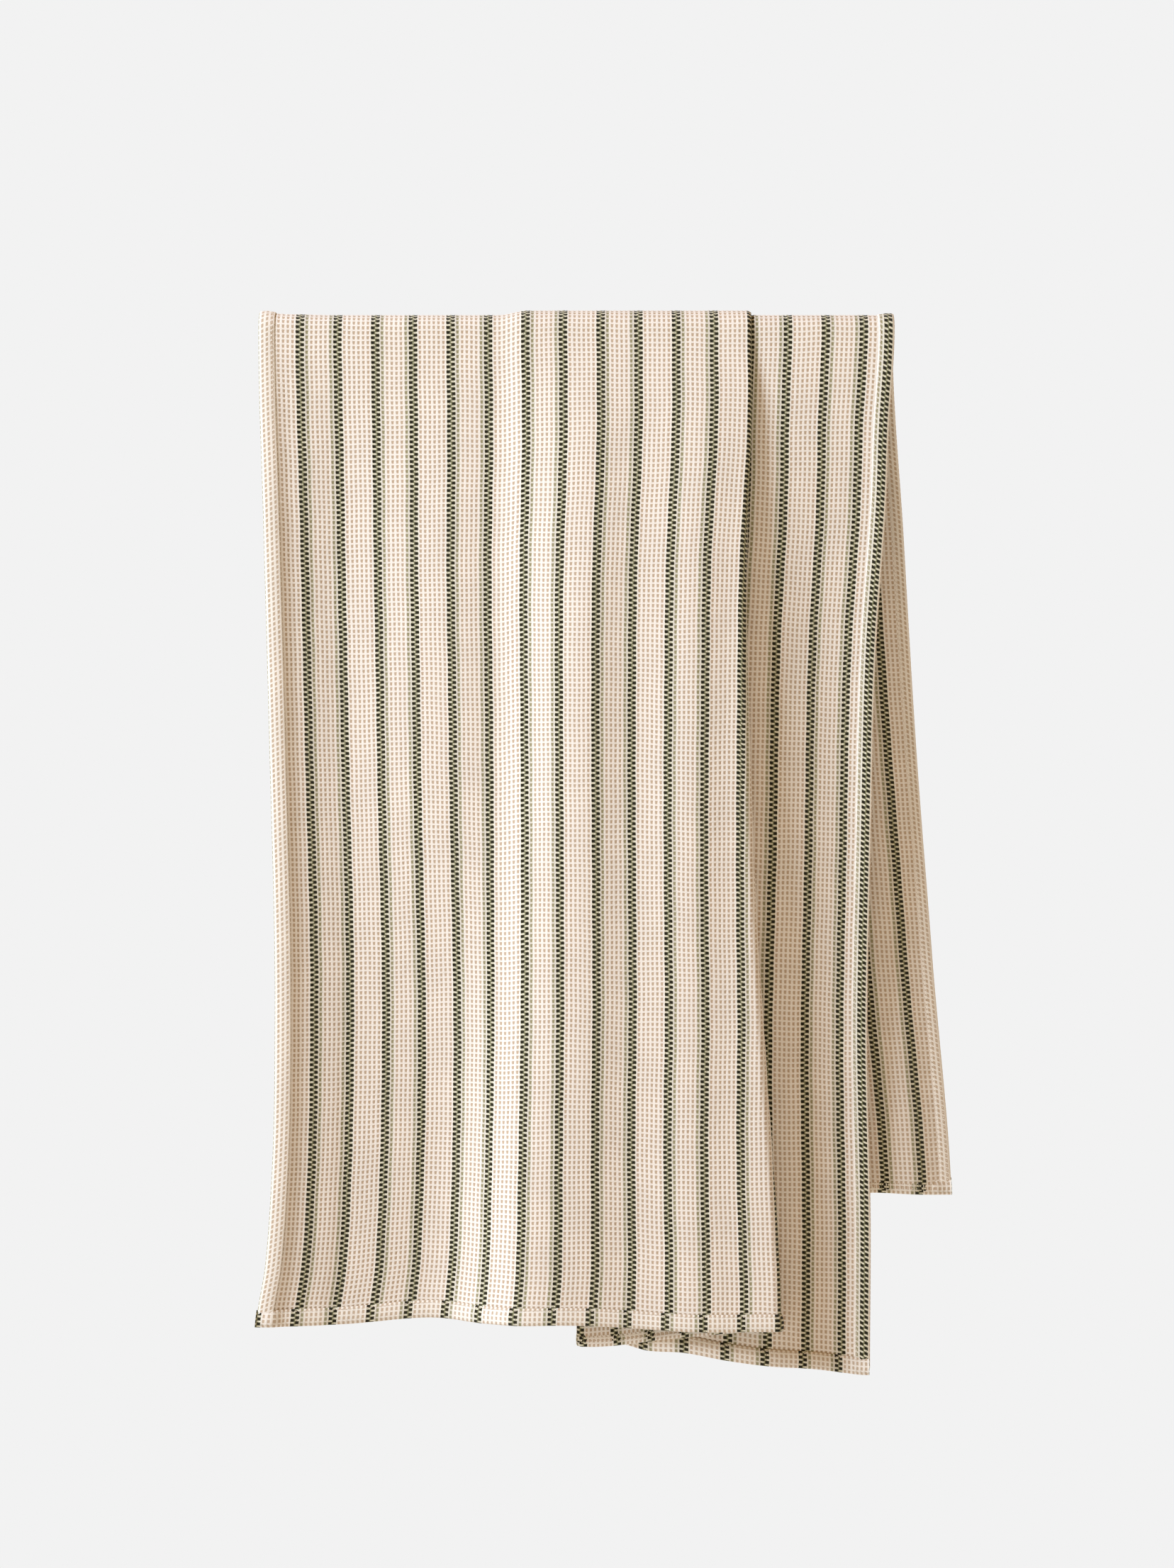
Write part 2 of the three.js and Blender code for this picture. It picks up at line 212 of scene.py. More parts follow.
def section(drop, u, depth):
    """The cloth cut level at a depth: x, and distance out from the rail's middle plane, of each line u.

    It is an S: the outer layer from the left edge to fold 1, a half turn of radius bend_1, the middle layer
    back to fold 2, a half turn of radius bend_2, and the inner layer on to the right edge."""
    puff, lower, roll, turn = (through(depth, *drop[k]) for k in ("puff", "lower", "edge_roll", "inner_turn"))
    left, fold_1, fold_2, right = (through(depth, *drop[k]) for k in ("left", "fold_1", "fold_2", "right"))
    u_1, u_2 = through(depth, *drop["u_fold_1"]), through(depth, *drop["u_fold_2"])
    out_1 = OUTER_R + puff * drop["outer"][1][-1]
    mid_1, mid_2 = (MIDDLE_R + puff * m for m in drop["middle"])
    in_2 = INNER_R + turn * drop["inner"][1][0]
    bend_1, bend_2 = (out_1 - mid_1) / 2, (mid_2 - in_2) / 2
    quarter_1, quarter_2 = bend_1 * math.pi / 2, bend_2 * math.pi / 2

    def run(at):
        """How wide the cloth up to u = at looks from in front: the waves have used the rest."""
        high_part = (1 - lower) * np.interp(at, *drop["outer_used"])
        low_part = lower * np.interp(at, *drop["outer_low_used"])
        return at - puff ** 2 * (high_part + low_part) - roll ** 2 * np.interp(at, *EDGE_ROLL_USED)

    end = u_1 - quarter_1
    x_outer = left + (fold_1 - bend_1 - left) * (run(u) - run(0 * u)) / (run(end) - run(0 * u))
    waves = (1 - lower) * through(u, *drop["outer"]) + lower * through(u, *drop["outer_low"])
    on_rail = INNER_R + (OUTER_R - INNER_R) * ease(u, *OVER_FOLD)
    d_outer = on_rail + puff * waves + roll * through(u, *EDGE_ROLL)

    turn_1 = (u - u_1) / bend_1
    x_turn_1 = fold_1 - bend_1 + bend_1 * np.cos(turn_1)
    d_turn_1 = (out_1 + mid_1) / 2 - bend_1 * np.sin(turn_1)

    t = (u - u_1 - quarter_1) / (u_2 - quarter_2 - u_1 - quarter_1)
    x_middle = (fold_1 - bend_1) * (1 - t) + (fold_2 + bend_2) * t
    d_middle = mid_1 * (1 - t) + mid_2 * t

    turn_2 = (u - u_2) / bend_2
    x_turn_2 = fold_2 + bend_2 - bend_2 * np.cos(turn_2)
    d_turn_2 = (mid_2 + in_2) / 2 - bend_2 * np.sin(turn_2)

    t = (u - u_2 - quarter_2) / (TOWEL_WIDE - u_2 - quarter_2)
    bunched = turn * drop["bunched"] * BUNCH_SCALE * t * t * (1 - t)
    x_inner = (fold_2 + bend_2) * (1 - t) + right * t + bunched
    d_inner = INNER_R + turn * through(u, *drop["inner"])

    part = [u < u_1 - quarter_1, u < u_1 + quarter_1, u < u_2 - quarter_2, u < u_2 + quarter_2]
    x = np.select(part, [x_outer, x_turn_1, x_middle, x_turn_2], x_inner)
    out = np.select(part, [d_outer, d_turn_1, d_middle, d_turn_2], d_inner)
    return x, out


def lie(drop, u, v):
    """Middle of the cloth's thickness at (u, v): straight down from the rail's side, and round the rail above
    its axis, where the angle from the crest is a quarter turn less the distance above over the radius."""
    below = hang_of(drop, u) - v
    depth = np.maximum(below, 0)
    x, out = section(drop, u, depth)
    angle = math.pi / 2 + np.minimum(below, 0) / np.maximum(out, INNER_R)
    return np.stack([x, drop["side"] * out * np.sin(angle), out * np.cos(angle) - depth], -1)


def unit(vectors):
    """Each vector over its own length."""
    return vectors / np.linalg.norm(vectors, axis=-1, keepdims=True)


def lie_frame(drop, u, v):
    """The cloth's middle at (u, v), with its unit directions across, up along it and out of face A."""
    step = 0.15
    across = unit(lie(drop, u + step, v) - lie(drop, u - step, v))
    along = unit(lie(drop, u, v + step) - lie(drop, u, v - step))
    return lie(drop, u, v), across, along, unit(-drop["side"] * np.cross(across, along))


def length_of(drop, u):
    """Length of the lengthwise line u from its end to the crest of the rail."""
    radius = section(drop, u, 0 * u)[1]
    return hang_of(drop, u) + radius * math.pi / 2


# ---- meshes ----------------------------------------------------------------------------------------------
def make_mesh(name, points, faces, uv, material, borders=None):
    """A mesh from points in mm, a list of face arrays and one uv in mm for each point. Edges between two
    border points are sharp, so that a joint with the next piece doesn't show."""
    mesh = bpy.data.meshes.new(name)
    corners = np.concatenate([f.ravel() for f in faces]).astype(np.int32)
    sizes = np.concatenate([np.full(len(f), f.shape[1]) for f in faces])
    starts = np.concatenate([[0], np.cumsum(sizes)[:-1]]).astype(np.int32)
    mesh.vertices.add(len(points))
    mesh.vertices.foreach_set("co", (points * MM).astype(np.float32).ravel())
    mesh.loops.add(len(corners))
    mesh.loops.foreach_set("vertex_index", corners)
    mesh.polygons.add(len(sizes))
    mesh.polygons.foreach_set("loop_start", starts)
    mesh.polygons.foreach_set("use_smooth", np.ones(len(sizes), bool))
    mesh.update(calc_edges=True)
    layer = mesh.uv_layers.new(name="cloth")
    layer.data.foreach_set("uv", (uv[corners] * MM).astype(np.float32).ravel())
    if borders is not None:
        ends = np.zeros(len(mesh.edges) * 2, np.int32)
        mesh.edges.foreach_get("vertices", ends)
        sharp = borders[ends.reshape(-1, 2)].all(1)
        mesh.attributes.new("sharp_edge", "BOOLEAN", "EDGE").data.foreach_set("value", sharp)
    mesh.materials.append(material)
    mesh.validate()
    piece = bpy.data.objects.new(name, mesh)
    bpy.context.scene.collection.objects.link(piece)
    return piece


def grid_quads(ids):
    """The faces of a grid of point numbers, turning from its first direction to its second."""
    return np.stack([ids[:-1, :-1], ids[1:, :-1], ids[1:, 1:], ids[:-1, 1:]], -1).reshape(-1, 4)


def rim(fine, coarse, kept):
    """Joins a line of points to another that keeps only some of them: a fan from each kept point, and one
    triangle for each gap between kept points."""
    step = np.arange(len(fine) - 1)
    owner = np.searchsorted(kept, step, side="right") - 1
    fans = np.stack([fine[:-1], fine[1:], coarse[owner]], -1)
    gaps = np.stack([fine[kept[1:]], coarse[1:], coarse[:-1]], -1)
    return np.concatenate([fans, gaps])


def weave(i, j, face):
    """Height of a face over the plain cloth, in shares of RELIEF, at grid point (i, j), two to a cell: a
    crossing of ribs where both are even, a pit where both are odd. Face B's crossings lie behind A's pits."""
    if face == "B":
        i, j = i + 1, j + 1
    up, over = i % 2 == 0, j % 2 == 0
    return np.where(up & over, 1, np.where(up, RIB_UP, np.where(over, RIB_ACROSS, -1)))


def wander(u, v):
    """Rows and columns aren't quite straight in woven cloth: two slow sine waves sideways, and two along."""
    return (0.14 * np.sin(v / 41 + u / 37) + 0.09 * np.sin(v / 7.3 - u / 23),
            0.45 * np.sin(u / 13 + v / 71) + 0.25 * np.sin(u / 5.1 - v / 47))


CALM_ROWS = 12                         # the wander dies out over this many rows below the crest
CLOSE_ROWS = 26                        # this many rows below the crest are kept close together, to bend well


def cloth_piece(name, drop, u_from, u_to, cells_up, fine, rows_kept, cols_kept, material):
    """One width of one drop, from its end hem to the rail's crest, as a closed shell: face A and face B are
    the cloth's middle moved out and in by half its thickness and by the weave. A face not in fine is smooth
    and keeps few points. Face A keeps all the points that face B does."""
    first, last = (round((u - FIRST_RIB) / CELL_WIDE) * 2 for u in (u_from, u_to))
    i = np.arange(first, last + 1)
    j = np.arange(2, 2 * cells_up + 1)
    across, up = np.meshgrid(i, j, indexing="ij")
    u = FIRST_RIB + across * CELL_WIDE / 2
    v = length_of(drop, u) * up / (2 * cells_up)
    calm = ease(up, 2 * cells_up, 2 * cells_up - CALM_ROWS)
    sideways, lengthways = (w * calm for w in wander(u, v))
    middle, side, along, out = lie_frame(drop, u + sideways, v + lengthways)
    snake = RIB_SNAKE * np.where(up % 2 == 0, 1, -1) * (across % 2 == 0)
    rng = np.random.default_rng(len(name) * 31 + len(i))
    uneven = 1 + UNEVEN * rng.standard_normal(u.shape)
    uv = np.stack([u, up * CELL_TALL / 2], -1)

    grids, shells, kept = [], [], []
    count = 0
    for face, sign in (("A", 1), ("B", -1)):
        rows, cols = (rows_kept, cols_kept) if face not in fine else (1, 1)
        keep_i = np.unique(np.append(np.arange(0, len(i), cols), len(i) - 1))
        near_rail = max(0, len(j) - CLOSE_ROWS)
        far_rows = np.arange(0, near_rail, rows)
        near_rows = np.arange(near_rail, len(j), min(rows, 2))
        keep_j = np.unique(np.concatenate([far_rows, near_rows, [len(j) - 1]]))
        relief = weave(across, up, face) * uneven if face in fine else 0 * u
        shift = (snake if face in fine else 0 * u)[..., None]
        lifted = middle + side * shift + out * (sign * (CLOTH_THICK / 2 + RELIEF * relief))[..., None]
        lifted = lifted[np.ix_(keep_i, keep_j)]
        grids.append(count + np.arange(lifted.shape[0] * lifted.shape[1]).reshape(lifted.shape[:2]))
        count += lifted.shape[0] * lifted.shape[1]
        shells.append((lifted.reshape(-1, 3), uv[np.ix_(keep_i, keep_j)].reshape(-1, 2)))
        kept.append((keep_i, keep_j))

    a, b = grids
    keep_across, keep_up = kept[1] if a.size > b.size else (np.arange(n) for n in a.shape)
    rims = np.concatenate([
        rim(a[:, 0], b[:, 0], keep_across)[:, ::-1],
        rim(a[-1], b[-1], keep_up)[:, ::-1],
        rim(a[:, -1], b[:, -1], keep_across),
        rim(a[0], b[0], keep_up),
    ])
    faces = [grid_quads(a), grid_quads(b)[:, ::-1], rims]
    if drop is BACK:
        faces = [f[:, ::-1] for f in faces]
    borders = np.zeros(count, bool)
    for g in grids:
        borders[np.concatenate([g[0], g[-1], g[:, 0], g[:, -1]])] = True
    points, uvs = (np.concatenate(both) for both in zip(*shells))
    return make_mesh(name, points, faces, uvs, material, borders)


def band_section(count, half_wide, half_thick):
    """Points round a flattened tube, from its inner border over face A to its outer border and back under: a
    superellipse of power 3, thinner at its inner border and pinched where the stitches pull it down, each by
    a bell curve across it. Also the distance round it."""
    turn = np.linspace(0, 2 * math.pi, count, endpoint=False)
    c, s = np.cos(turn), np.sin(turn)
    across = -np.sign(c) * np.abs(c) ** (2 / 3) * half_wide
    thick = np.sign(s) * np.abs(s) ** (2 / 3) * half_thick
    stitched = np.exp(-((across + half_wide - STITCH_INSET) / STITCH_PINCH_WIDE) ** 2)
    at_border = np.exp(-((across + half_wide) / HEM_THIN_WIDE) ** 2)
    thick *= (1 - STITCH_PINCH * stitched) * (1 - HEM_THIN * at_border)
    round_to = np.stack([np.roll(across, -1) - across, np.roll(thick, -1) - thick], -1)
    way = np.concatenate([[0], np.cumsum(np.linalg.norm(round_to, axis=-1))[:-1]])
    return across, thick, way


def tube(name, rings, uv, material, outward):
    """A closed tube from rings[along, round] of points, with a flat end at each end."""
    along, around = rings.shape[:2]
    ids = np.arange(along * around).reshape(along, around)
    wrapped = np.concatenate([ids, ids[:, :1]], 1)
    caps = np.stack([ids[0][::-1], ids[-1]])
    faces = [grid_quads(wrapped), caps]
    if not outward:
        faces = [f[:, ::-1] for f in faces]
    return make_mesh(name, rings.reshape(-1, 3), faces, uv.reshape(-1, 2), material)


def side_hem(name, drop, left, cells_up, material):
    """The turned side hem down one edge of a drop: the flattened tube carried down the line half a hem in
    from the edge, its weave standing out. It stops inside the end hem."""
    across, thick, way = band_section(HEM_POINTS, SIDE_HEM / 2, HEM_HALF_THICK)
    j = np.arange(4, 2 * cells_up + 1)[:, None]
    i = np.arange(HEM_POINTS)[None, :]
    inward = 1 if left else -1
    u = np.full(j.shape, SIDE_HEM / 2 if left else TOWEL_WIDE - SIDE_HEM / 2)
    v = length_of(drop, u) * j / (2 * cells_up)
    middle, side, along, out = lie_frame(drop, u, v)
    grow = 1 + SIDE_SWELL * (weave(i, j, "A") - SIDE_LEVEL)
    offset = -inward * across[None, :] * (1 + 0 * j)
    lift = thick[None, :] * grow + (LEFT_OUT if left else RIGHT_OUT)
    rings = middle + (side + along * inward * HEM_SLANT) * offset[..., None] + out * lift[..., None]
    edge = LEFT_TURN if left else TOWEL_WIDE
    inner_to_edge = way[np.argmax(across)]
    flap = way[None, :] - inner_to_edge + 0 * j
    u_cloth = edge + inward * flap
    uv = np.stack([u_cloth, j * CELL_TALL / 2 + 0 * u_cloth], -1)
    return tube(name, rings, uv, material, (drop is FRONT) == left)


def bulk(u):
    """How many times its plain thickness an end hem has at u: more where it is sewn over a side hem."""
    over_left = 1 - ease(u, SIDE_HEM, SIDE_HEM + OVER_SIDE_EASE)
    over_right = ease(u, TOWEL_WIDE - SIDE_HEM - OVER_SIDE_EASE, TOWEL_WIDE - SIDE_HEM)
    return 1 + OVER_SIDE_BULK * (over_left + over_right)


def end_hem(name, drop, material):
    """The turned end hem along a drop's whole end, folds and all: the same flattened tube carried across it,
    thicker where it is sewn over the side hems."""
    across, thick, way = band_section(HEM_POINTS, END_HEM / 2, HEM_HALF_THICK)
    columns = round(TOWEL_WIDE / CELL_WIDE) * 2
    i = np.arange(-1, columns + 1)[:, None]
    j = np.arange(HEM_POINTS)[None, :]
    u = np.clip(FIRST_RIB + (i - 1) * CELL_WIDE / 2, -END_PAST, TOWEL_WIDE + END_PAST)
    middle, side, along, out = lie_frame(drop, u, END_HEM / 2 + 0 * u)
    grow = bulk(u) * (1 + END_SWELL * (weave(i - 1, j, "A") - END_LEVEL))
    rings = (middle - along * (across[None, :] + 0 * u)[..., None]
             + out * (thick[None, :] * grow + END_OUT)[..., None])
    flap = way[None, :] - way[np.argmax(across)]
    uv = np.stack([u + END_SHIFT + 0 * flap, flap + 0 * u], -1)
    return tube(name, rings, uv, material, drop is BACK)


def stitches(name, places, heading, up, material):
    """A row of short sunk stitches: a six-sided capsule, 0.3 times as wide at its ends, set down at each
    place along its heading."""
    rings_at = np.array([-0.5, -0.3, 0.3, 0.5]) * STITCH_LONG
    rings_r = np.array([0.3, 1.0, 1.0, 0.3]) * STITCH_THICK / 2
    turn = np.linspace(0, 2 * math.pi, STITCH_SIDES, endpoint=False)
    side = unit(np.cross(heading, up))
    shape = (heading[:, None, None] * rings_at[:, None, None]
             + side[:, None, None] * (rings_r[:, None] * np.cos(turn))[..., None]
             + up[:, None, None] * (rings_r[:, None] * np.sin(turn))[..., None])
    points = places[:, None, None] + shape
    ids = np.arange(len(rings_at) * STITCH_SIDES).reshape(-1, STITCH_SIDES)
    walls = grid_quads(np.concatenate([ids, ids[:, :1]], 1))
    caps = np.stack([ids[0][::-1], ids[-1]])
    shift = np.arange(len(places))[:, None, None] * ids.size
    faces = [(walls + shift).reshape(-1, 4)[:, ::-1], (caps + shift).reshape(-1, STITCH_SIDES)[:, ::-1]]
    one_uv = np.stack(np.broadcast_arrays(rings_at[:, None], turn * STITCH_THICK), -1)
    uv = np.broadcast_to(one_uv, (len(places), *one_uv.shape))
    return make_mesh(name, points.reshape(-1, 3), faces, uv.reshape(-1, 2), material)


def side_stitches(name, drop, left, material):
    """The stitches down a side hem, on both faces."""
    inset = SIDE_HEM - STITCH_INSET
    line = inset if left else TOWEL_WIDE - inset
    long = length_of(drop, np.array([line]))[0]
    v = np.arange(END_HEM + ROW_GAPS[0], long - ROW_GAPS[1], STITCH_PITCH)
    middle, side, along, out = lie_frame(drop, np.full(v.shape, line), v)
    hem_out = LEFT_OUT if left else RIGHT_OUT
    places = np.concatenate([middle + out * (hem_out + sign * STITCH_SUNK) for sign in (1, -1)])
    return stitches(name, places, np.concatenate([along, along]), np.concatenate([out, -out]), material)


def end_stitches(name, drop, material):
    """The stitches along an end hem, on both faces."""
    u = np.arange(END_ROW_GAPS[0], TOWEL_WIDE - END_ROW_GAPS[1], STITCH_PITCH)
    middle, side, along, out = lie_frame(drop, u, np.full(u.shape, END_HEM - STITCH_INSET))
    sunk = (STITCH_SUNK * bulk(u))[:, None]
    places = np.concatenate([middle + out * (END_OUT + sign * sunk) for sign in (1, -1)])
    return stitches(name, places, np.concatenate([side, side]), np.concatenate([out, -out]), material)


# ---- finishes --------------------------------------------------------------------------------------------
class Wiring:
    """Short ways to add and join a material's nodes."""

    def __init__(self, name):
        self.material = bpy.data.materials.new(name)
        self.material.use_nodes = True
        self.nodes, self.links = self.material.node_tree.nodes, self.material.node_tree.links
        self.shader = self.nodes["Principled BSDF"]

    def add(self, kind, inputs=(), **settings):
        node = self.nodes.new(kind)
        for key, value in settings.items():
            setattr(node, key, value)
        for socket, value in dict(inputs).items():
            self.plug(node.inputs[socket], value)
        return node

    def plug(self, socket, value):
        if isinstance(value, bpy.types.NodeSocket):
            self.links.new(value, socket)
        else:
            socket.default_value = value

    def maths(self, operation, *values):
        node = self.add("ShaderNodeMath", operation=operation)
        for socket, value in zip(node.inputs, values):
            self.plug(socket, value)
        return node.outputs[0]

    def ramp(self, value, low, high, start=0.0, end=1.0):
        """start where value is low, end where it is high, and smooth between."""
        node = self.add("ShaderNodeMapRange", interpolation_type="SMOOTHSTEP")
        given = {"Value": value, "From Min": low, "From Max": high, "To Min": start, "To Max": end}
        for socket, setting in given.items():
            self.plug(node.inputs[socket], setting)
        return node.outputs["Result"]

    def mix(self, share, first, second, blend="MIX"):
        node = self.add("ShaderNodeMix", data_type="RGBA", blend_type=blend)
        for socket, value in ((node.inputs[0], share), (node.inputs[6], first), (node.inputs[7], second)):
            self.plug(socket, value)
        return node.outputs[2]

    def noise(self, vector, scale, detail=2.0):
        return self.add("ShaderNodeTexNoise", {"Vector": vector, "Scale": scale, "Detail": detail}).outputs[0]


def rgb(red, green, blue):
    """A colour given in 0-255 display values, as the linear colour that nodes hold: each value c as a share
    of 255 becomes ((c + 0.055) / 1.055) ^ 2.4."""
    channel = (np.array([red, green, blue]) / 255 + 0.055) / 1.055
    return (*channel ** 2.4, 1.0)


STRIPE_GREEN = rgb(118, 116, 78)
STRIPE_HOLE = rgb(33, 27, 9)
STRIPE_TICK = rgb(230, 220, 190)
STRIPE_HAZE = rgb(116, 122, 70)

# Borders, each as the places where a colour starts and where it is full, in cells. A pit, a hole and a tick
# are placed from the middle of a pit, and the stripe and the haze from the middle of the stripe.
PIT_U, PIT_V = (0.36, 0.14), (0.42, 0.24)
HOLE_U, HOLE_V = (0.43, 0.26), (0.33, 0.19)
TICK_U, TICK_V = (0.5, 0.36), (0.28, 0.4)
STRIPE_BORDER = (0.98, 0.84)
HAZE_NEAR, HAZE_FAR = (0.9, 1.1), (1.95, 1.7)
HAZE_ON_RIBS, HAZE_IN_PITS = 0.26, 0.36   # its strength everywhere, and how much more it has in a pit
TICK_GRAIN, YARN_GRAIN, SLUB_GRAIN, FLUFF_GRAIN = 1500.0, 1900.0, 34.0, 2100.0   # noise cells to a metre


def woven(name, rib_colour, shaded_pit_colour, relief):
    """Waffle cloth on its flat uv. Cells are fractions of u and v. A stripe is the two columns of cells
    nearest its centre: green ribs, dark pits, and a pale tick of yarn between each pit and the next, with the
    second column half a cell lower. The column beside it is hazed with green, on the side that alternates
    from stripe to stripe and is mirrored about the middle stripe. Ramps run over shares of a cell."""
    w = Wiring(name)
    uv = w.add("ShaderNodeUVMap", uv_map="cloth").outputs[0]
    axes = w.add("ShaderNodeSeparateXYZ", {0: uv})
    column = w.maths("DIVIDE", w.maths("SUBTRACT", axes.outputs[0], FIRST_RIB * MM), CELL_WIDE * MM)
    row = w.maths("DIVIDE", axes.outputs[1], CELL_TALL * MM)
    # both are 0 in the middle of a pit and 0.5 on a rib
    in_u = w.maths("ABSOLUTE", w.maths("SUBTRACT", w.maths("FRACT", column), 0.5))
    in_v = w.maths("ABSOLUTE", w.maths("SUBTRACT", w.maths("FRACT", row), 0.5))
    pit = w.maths("MULTIPLY", w.ramp(in_u, *PIT_U), w.ramp(in_v, *PIT_V))

    from_first = w.maths("SUBTRACT", axes.outputs[0], FIRST_STRIPE * MM)
    count = w.maths("ADD", w.maths("DIVIDE", from_first, STRIPE_PITCH * MM), 0.5)
    number = w.maths("FLOOR", count)
    beside = w.maths("MULTIPLY", w.maths("SUBTRACT", w.maths("FRACT", count), 0.5), CELLS_PER_STRIPE)
    stripe = w.ramp(w.maths("ABSOLUTE", beside), *STRIPE_BORDER)
    odd = w.maths("MODULO", w.maths("ABSOLUTE", number), 2.0)
    mirrored = w.maths("GREATER_THAN", number, MIDDLE_STRIPE - 0.5)
    turned = w.maths("ABSOLUTE", w.maths("SUBTRACT", odd, mirrored))
    beside_way = w.maths("MULTIPLY", beside, w.maths("MULTIPLY_ADD", turned, -2.0, 1.0))
    third = w.maths("MULTIPLY", w.ramp(beside_way, *HAZE_NEAR), w.ramp(beside_way, *HAZE_FAR))

    lowered = w.maths("MULTIPLY_ADD", w.maths("GREATER_THAN", beside, 0.0), 0.5, row)
    in_stripe = w.maths("ABSOLUTE", w.maths("SUBTRACT", w.maths("FRACT", lowered), 0.5))
    hole = w.maths("MULTIPLY", w.ramp(in_u, *HOLE_U), w.ramp(in_stripe, *HOLE_V))
    tick = w.maths("MULTIPLY", w.ramp(in_u, *TICK_U), w.ramp(in_stripe, *TICK_V))
    tick = w.maths("MULTIPLY", tick, w.ramp(w.noise(uv, TICK_GRAIN, 1.0), 0.28, 0.5))

    yarn = w.ramp(w.noise(uv, YARN_GRAIN), 0.3, 0.7, 0.9, 1.07)
    slub = w.ramp(w.noise(uv, SLUB_GRAIN, 3.0), 0.3, 0.7, 0.97, 1.02)
    # the pits get a darker, tanner colour than the ribs: painted shade in the pits
    cream = w.mix(pit, rib_colour, shaded_pit_colour)
    green = w.mix(tick, w.mix(hole, STRIPE_GREEN, STRIPE_HOLE), STRIPE_TICK)
    haze = w.maths("MULTIPLY", third, w.maths("MULTIPLY_ADD", pit, HAZE_IN_PITS, HAZE_ON_RIBS))
    colour = w.mix(stripe, w.mix(haze, cream, STRIPE_HAZE), green)
    uneven = w.maths("MULTIPLY", yarn, slub)
    shade = w.add("ShaderNodeCombineXYZ", {0: uneven, 1: uneven, 2: uneven}).outputs[0]
    w.plug(w.shader.inputs["Base Color"], w.mix(1.0, colour, shade, "MULTIPLY"))

    height = w.maths("SUBTRACT", w.maths("MULTIPLY", w.noise(uv, FLUFF_GRAIN), 0.35), pit)
    bump = w.add("ShaderNodeBump", {"Height": height, "Distance": relief * MM, "Strength": 1.0})
    w.plug(w.shader.inputs["Normal"], bump.outputs[0])
    w.shader.inputs["Roughness"].default_value = 0.95
    w.shader.inputs["Specular IOR Level"].default_value = 0.15
    w.shader.inputs["Sheen Weight"].default_value = 0.12
    w.shader.inputs["Sheen Roughness"].default_value = 0.6
    return w.material


def sewing_thread():
    """Two-ply cotton: pale, with a fine slanted twist along each stitch."""
    w = Wiring("sewing thread")
    uv = w.add("ShaderNodeUVMap", uv_map="cloth").outputs[0]
    settings = {"Vector": uv, "Scale": 900.0, "Distortion": 0.0}
    twist = w.add("ShaderNodeTexWave", settings, bands_direction="DIAGONAL")
    # the twist's grooves are painted darker than its crests: painted shade along the thread
    w.plug(w.shader.inputs["Base Color"], w.mix(twist.outputs[1], rgb(205, 184, 156), rgb(236, 224, 206)))
    bump = w.add("ShaderNodeBump", {"Height": twist.outputs[1], "Distance": 0.00008, "Strength": 0.6})
    w.plug(w.shader.inputs["Normal"], bump.outputs[0])
    w.shader.inputs["Roughness"].default_value = 0.75
    w.shader.inputs["Specular IOR Level"].default_value = 0.25
    return w.material


# the darker pit colours given below are painted shade in the waffle's pits
waffle_cloth = woven("cream waffle cloth with dark green stripes", rib_colour=rgb(244, 233, 214),
                     shaded_pit_colour=rgb(196, 170, 138), relief=0.16)
hem_cloth = woven("turned hem cloth", rib_colour=rgb(244, 234, 214),
                  shaded_pit_colour=rgb(200, 176, 145), relief=0.14)
thread = sewing_thread()

# ---- the pieces ------------------------------------------------------------------------------------------
CELLS = {"front": 205, "back": 184}    # rows of cells from the end to the rail's crest
WIDTHS = {                             # u where each layer's piece starts and ends, between ribs
    "outer": (FIRST_RIB, 391.2),
    "middle": (391.2, 602.0),
    "inner": (602.0, 746.0),
}
DETAIL = {                             # which faces have the weave, and which points the others keep
    "outer": dict(fine="A", rows_kept=20, cols_kept=2),
    "middle": dict(fine="", rows_kept=8, cols_kept=1),
    "inner": dict(fine="AB", rows_kept=1, cols_kept=1),
}


def join_drop(piece):
    """Bakes the piece's placing into its points."""
    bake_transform(piece)


for name, drop in (("front", FRONT), ("back", BACK)):
    cells = CELLS[name]
    hem = end_hem(f"{name}_end_hem", drop, hem_cloth)
    row = end_stitches(f"{name}_end_stitches", drop, thread)
    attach(hem, f"{name}_drop")
    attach(row, f"{name}_drop")
    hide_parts(*[f"{name}_{layer}_end_hem" for layer in WIDTHS])
    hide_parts(*[f"{name}_{layer}_end_thread" for layer in WIDTHS])
    for side, layer in (("left", "outer"), ("right", "inner")):
        band = side_hem(f"{name}_{side}_hem_band", drop, side == "left", cells, hem_cloth)
        sewn = side_stitches(f"{name}_{side}_stitches", drop, side == "left", thread)
        for piece, node in ((band, f"{side}_hem"), (sewn, f"{side}_hem_thread")):
            join_drop(piece)
            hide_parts(f"{name}_{node}", f"rail_{node}")
    for layer, (u_from, u_to) in WIDTHS.items():
        cloth = cloth_piece(f"{name}_{layer}_cloth", drop, u_from, u_to, cells, material=waffle_cloth,
                            **DETAIL[layer])
        join_drop(cloth)
        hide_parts(f"{name}_{layer}_panel", f"rail_{layer}_layer")
        if layer == "outer":
            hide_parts(f"{name}_right_fold", "rail_right_fold")
        if layer == "middle":
            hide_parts(f"{name}_left_fold", "rail_left_fold")
        long = float(length_of(drop, np.array([(u_from + u_to) / 2]))[0])


# ---- floor, light and camera -----------------------------------------------------------------------------
def soft_light(name, place, target, size, power, colour):
    """A square soft light at a place, facing the target."""
    light = bpy.data.lights.new(name, "AREA")
    light.shape = "SQUARE"
    light.size, light.energy, light.color = size, power, colour
    lamp = bpy.data.objects.new(name, light)
    lamp.location = place
    lamp.rotation_mode = "QUATERNION"
    lamp.rotation_quaternion = (Vector(target) - Vector(place)).to_track_quat("-Z", "Y")
    bpy.context.scene.collection.objects.link(lamp)


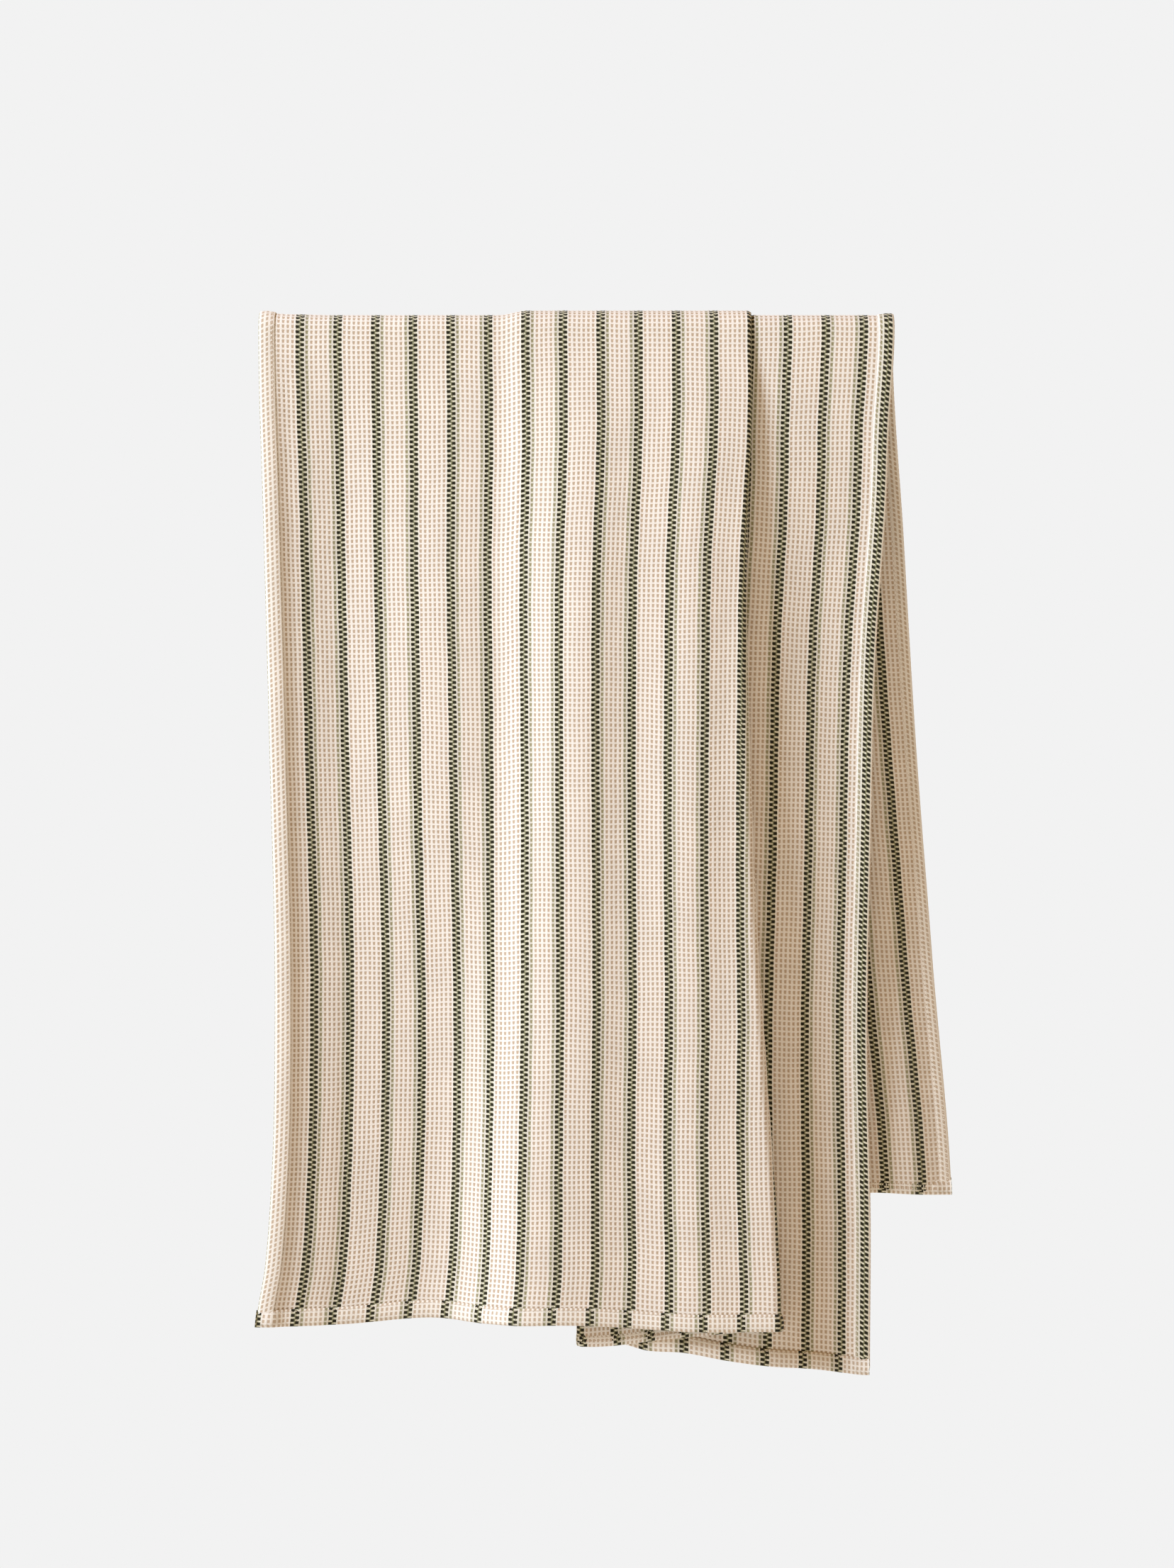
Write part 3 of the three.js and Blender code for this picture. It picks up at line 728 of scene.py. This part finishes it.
WORLD_COLOUR, WORLD_STRENGTH = (1.0, 0.58, 0.2, 1), 0.4
FLOOR_HALF, FLOOR_BELOW = 40.0, 0.55   # the floor's half width, and how far it lies under the object
FADE_FROM, FADE_TO = 1.35, 1.9         # distance from the floor's middle where it fades into the background


def surroundings(pale):
    """A pale floor that runs into a pale background, and the light that comes from all round."""
    world = bpy.data.worlds.new("studio")
    bpy.context.scene.world = world
    world.use_nodes = True
    nodes, links = world.node_tree.nodes, world.node_tree.links
    back = nodes["Background"]
    seen = nodes.new("ShaderNodeBackground")
    seen.inputs[0].default_value = pale
    back.inputs[0].default_value = WORLD_COLOUR
    back.inputs[1].default_value = WORLD_STRENGTH
    which, path = nodes.new("ShaderNodeMixShader"), nodes.new("ShaderNodeLightPath")
    links.new(path.outputs["Is Camera Ray"], which.inputs[0])
    links.new(back.outputs[0], which.inputs[1])
    links.new(seen.outputs[0], which.inputs[2])
    links.new(which.outputs[0], nodes["World Output"].inputs[0])

    z = cad_box[0].z - FLOOR_BELOW
    corners = [(x * FLOOR_HALF, y * FLOOR_HALF, z) for x, y in ((-1, -1), (1, -1), (1, 1), (-1, 1))]
    mesh = bpy.data.meshes.new("floor")
    mesh.from_pydata(corners, [], [(0, 1, 2, 3)])
    w = Wiring("pale floor")
    w.shader.inputs["Base Color"].default_value = rgb(236, 236, 236)
    w.shader.inputs["Roughness"].default_value = 1.0
    glow = w.add("ShaderNodeEmission", {"Color": pale})
    place = w.add("ShaderNodeTexCoord").outputs["Object"]
    away = w.add("ShaderNodeVectorMath", {0: place}, operation="LENGTH")
    far = w.ramp(away.outputs["Value"], FADE_FROM, FADE_TO)
    blend = w.add("ShaderNodeMixShader", {0: far, 1: w.shader.outputs[0], 2: glow.outputs[0]})
    w.links.new(blend.outputs[0], w.nodes["Material Output"].inputs[0])
    mesh.materials.append(w.material)
    floor = bpy.data.objects.new("floor", mesh)
    bpy.context.scene.collection.objects.link(floor)


surroundings(rgb(242, 242, 242))
HEART = (0, 0, -0.35)                  # where both lights point
soft_light("key", (-3.5, -1.9, 2.0), HEART, size=1.3, power=332, colour=(0.645, 0.765, 1.0))
soft_light("back fill", (1.5, 3.2, 1.2), HEART, size=1.6, power=80, colour=(0.9, 0.96, 1.0))

SENSOR, DISTANCE = 24.0, 2.4
FRAME_HIGH = 1.121                     # height of the scene that fits in the picture at that distance
CAMERA_X, CAMERA_Z = 0.0076, -0.324
camera = bpy.data.objects.new("camera", bpy.data.cameras.new("camera"))
bpy.context.scene.collection.objects.link(camera)
camera.data.sensor_fit = "VERTICAL"
camera.data.sensor_height = SENSOR
camera.data.lens = SENSOR * DISTANCE / FRAME_HIGH
camera.location = (CAMERA_X, -DISTANCE, CAMERA_Z)
camera.rotation_euler = (math.pi / 2, 0, 0)
bpy.context.scene.camera = camera
bpy.context.scene.view_settings.view_transform = "Standard"
